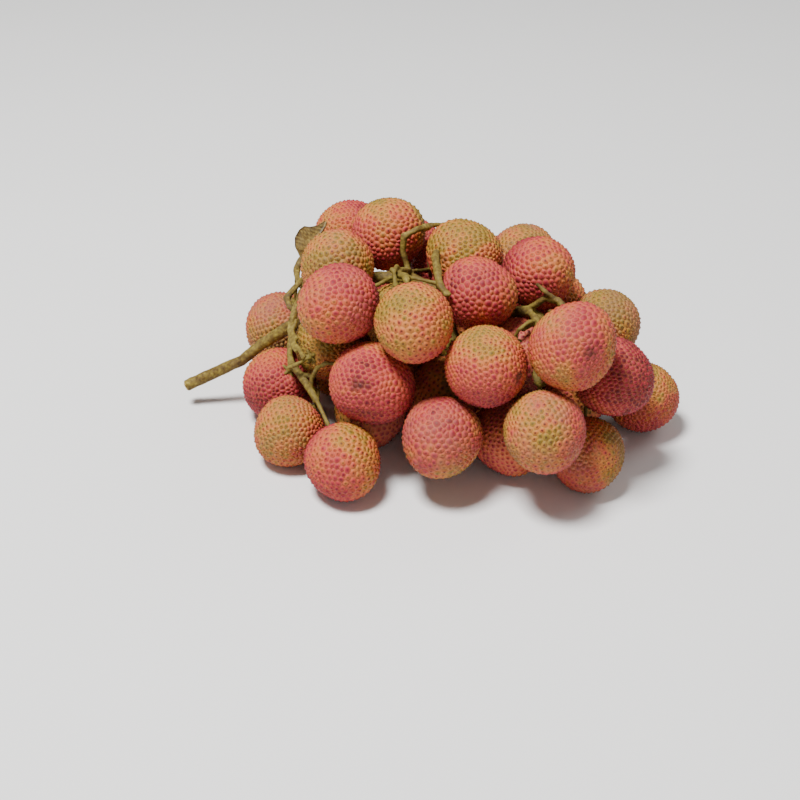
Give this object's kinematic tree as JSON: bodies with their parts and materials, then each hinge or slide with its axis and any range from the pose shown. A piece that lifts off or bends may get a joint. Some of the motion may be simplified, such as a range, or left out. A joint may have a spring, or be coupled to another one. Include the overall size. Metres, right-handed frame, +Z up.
{
  "type": "bunch of lychees",
  "caption": "Picked bunch of lychees lying in a low mound: scaly round fruits on one branched woody stalk, with bare forked twigs and a dried leaflet.",
  "frame": {"origin": "on the surface that the bunch lies on, under the middle of the bunch", "axes": "+Z up; +X along the bunch, away from the stalk's cut end; +Y across it"},
  "size_m": [0.204, 0.1774, 0.09],
  "materials": {
    "rind": "dry leathery rind of raised scales, salmon pink with yellow-green and crimson patches",
    "bark": "thin olive-brown bark with pale flecks, matt",
    "dried_leaf": "dried leaf, olive brown, dull"
  },
  "bodies": {
    "root": {"stem": "bark", "leaflet": "dried_leaf", "fruit_01": "rind", "fruit_02": "rind", "fruit_03": "rind", "fruit_04": "rind", "fruit_05": "rind", "fruit_06": "rind", "fruit_07": "rind", "fruit_08": "rind", "fruit_09": "rind", "fruit_10": "rind", "fruit_11": "rind", "fruit_12": "rind", "fruit_13": "rind", "fruit_14": "rind", "fruit_15": "rind", "fruit_16": "rind", "fruit_17": "rind", "fruit_18": "rind", "fruit_19": "rind", "fruit_20": "rind", "fruit_21": "rind", "fruit_22": "rind", "fruit_23": "rind", "fruit_24": "rind", "fruit_25": "rind", "fruit_26": "rind", "fruit_27": "rind", "fruit_28": "rind", "fruit_29": "rind", "fruit_30": "rind", "fruit_31": "rind", "fruit_32": "rind", "fruit_33": "rind", "fruit_34": "rind", "fruit_35": "rind", "fruit_36": "rind", "fruit_37": "rind", "fruit_38": "rind", "fruit_39": "rind", "fruit_40": "rind", "fruit_41": "rind", "fruit_42": "rind", "fruit_43": "rind", "fruit_44": "rind"}
  },
  "joints": []
}
